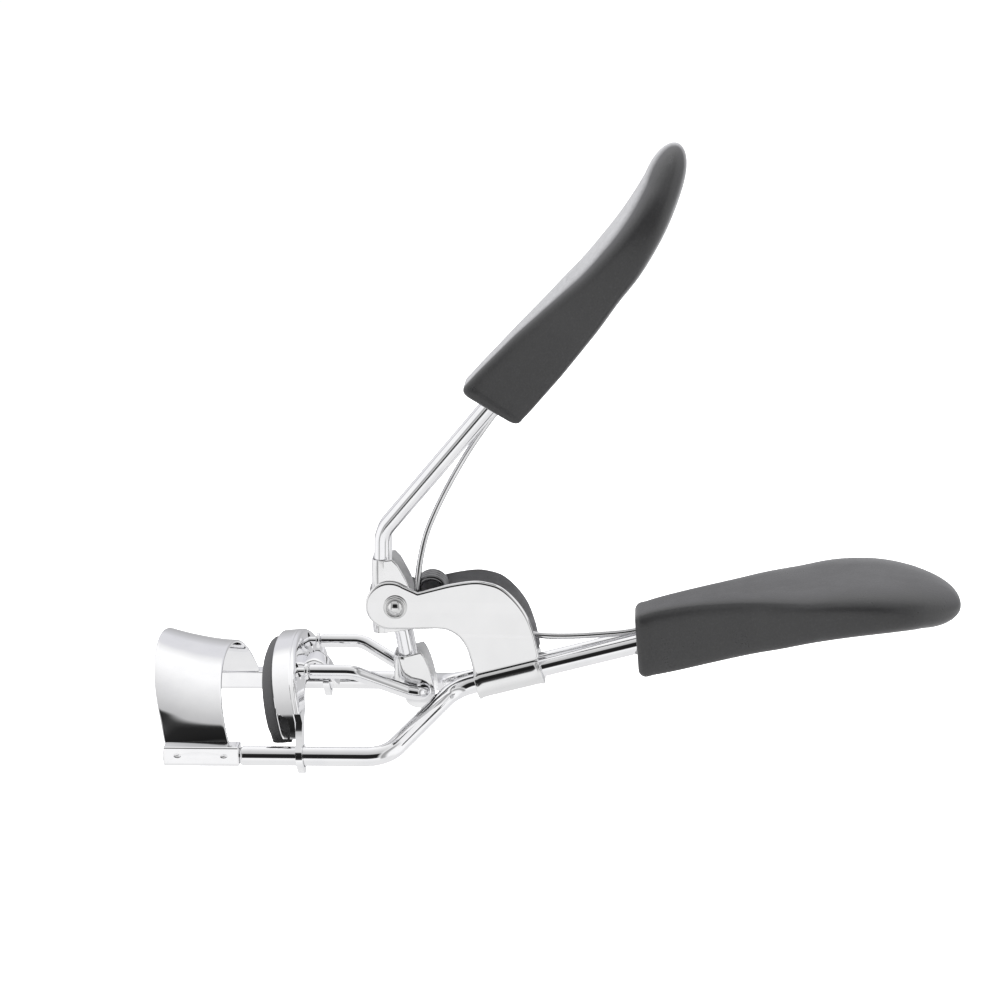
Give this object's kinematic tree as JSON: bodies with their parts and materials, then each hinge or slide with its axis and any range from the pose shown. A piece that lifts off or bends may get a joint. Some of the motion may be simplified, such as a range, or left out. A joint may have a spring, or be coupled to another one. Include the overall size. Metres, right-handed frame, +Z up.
{
  "type": "eyelash curler",
  "caption": "Hand-held eyelash curler: a curved jaw on a wire cage, a padded jaw that slides along it, and two spring-opened handles with moulded grips.",
  "frame": {"origin": "middle of the bounding box in X and Y, at the lowest point, which is the tip of the sliding jaw's ears", "axes": "+X along the cage rods from the fixed jaw to the handles, +Y across the jaws, +Z up towards the raised handle"},
  "size_m": [0.1004, 0.0346, 0.0749],
  "materials": {
    "cage_chrome": "polished chrome plate on steel rod",
    "jaw_chrome": "polished chrome plate on pressed sheet",
    "bracket_nickel": "bright nickel plate, slightly satin, on folded sheet",
    "clip_nickel": "bright nickel plate on folded sheet",
    "rivet_steel": "turned and headed steel",
    "spring_steel": "plated spring wire",
    "pad_rubber": "matt moulded silicone rubber, dark grey",
    "grip_plastic": "matt dark grey moulded plastic with a fine texture"
  },
  "bodies": {
    "frame": {"frame_rod_near": "cage_chrome", "frame_rod_far": "cage_chrome", "fixed_jaw": "jaw_chrome", "pivot_bracket": "bracket_nickel", "pivot_rivet": "rivet_steel", "handle_spring": "spring_steel", "lower_grip": "grip_plastic"},
    "lever": {"lever_rod_near": "cage_chrome", "lever_rod_far": "cage_chrome", "pivot_clip": "clip_nickel", "yoke_clip": "clip_nickel", "upper_grip": "grip_plastic"},
    "jaw": {"moving_jaw": "jaw_chrome", "lash_pad": "pad_rubber"},
    "push_wire": {"push_wire": "cage_chrome", "push_wire_collar_near": "rivet_steel", "push_wire_collar_far": "rivet_steel"}
  },
  "joints": [
    {"name": "lever_hinge", "type": "hinge", "parent": "frame", "child": "lever", "pos_m": [-0.02003, 0, 0.01749], "axis": [0, 1, 0], "range_deg": [0, 25.3], "stiffness_Nm_per_rad": 0.1, "springref_deg": -28.65, "deforming": ["handle_spring"]},
    {"name": "jaw_slide", "type": "slide", "parent": "frame", "child": "jaw", "axis": [-1, 0, 0], "range_m": [0, 0.00502]},
    {"name": "push_wire_hinge", "type": "hinge", "parent": "lever", "child": "push_wire", "pos_m": [-0.01673, 0, 0.0065], "axis": [0, 1, 0], "range_deg": [-23.9, 0]}
  ],
  "couplings": [
    {"joint": "jaw_slide", "follows": "lever_hinge", "m_per_rad": 0.011353},
    {"joint": "push_wire_hinge", "follows": "lever_hinge", "ratio": -0.9435}
  ]
}
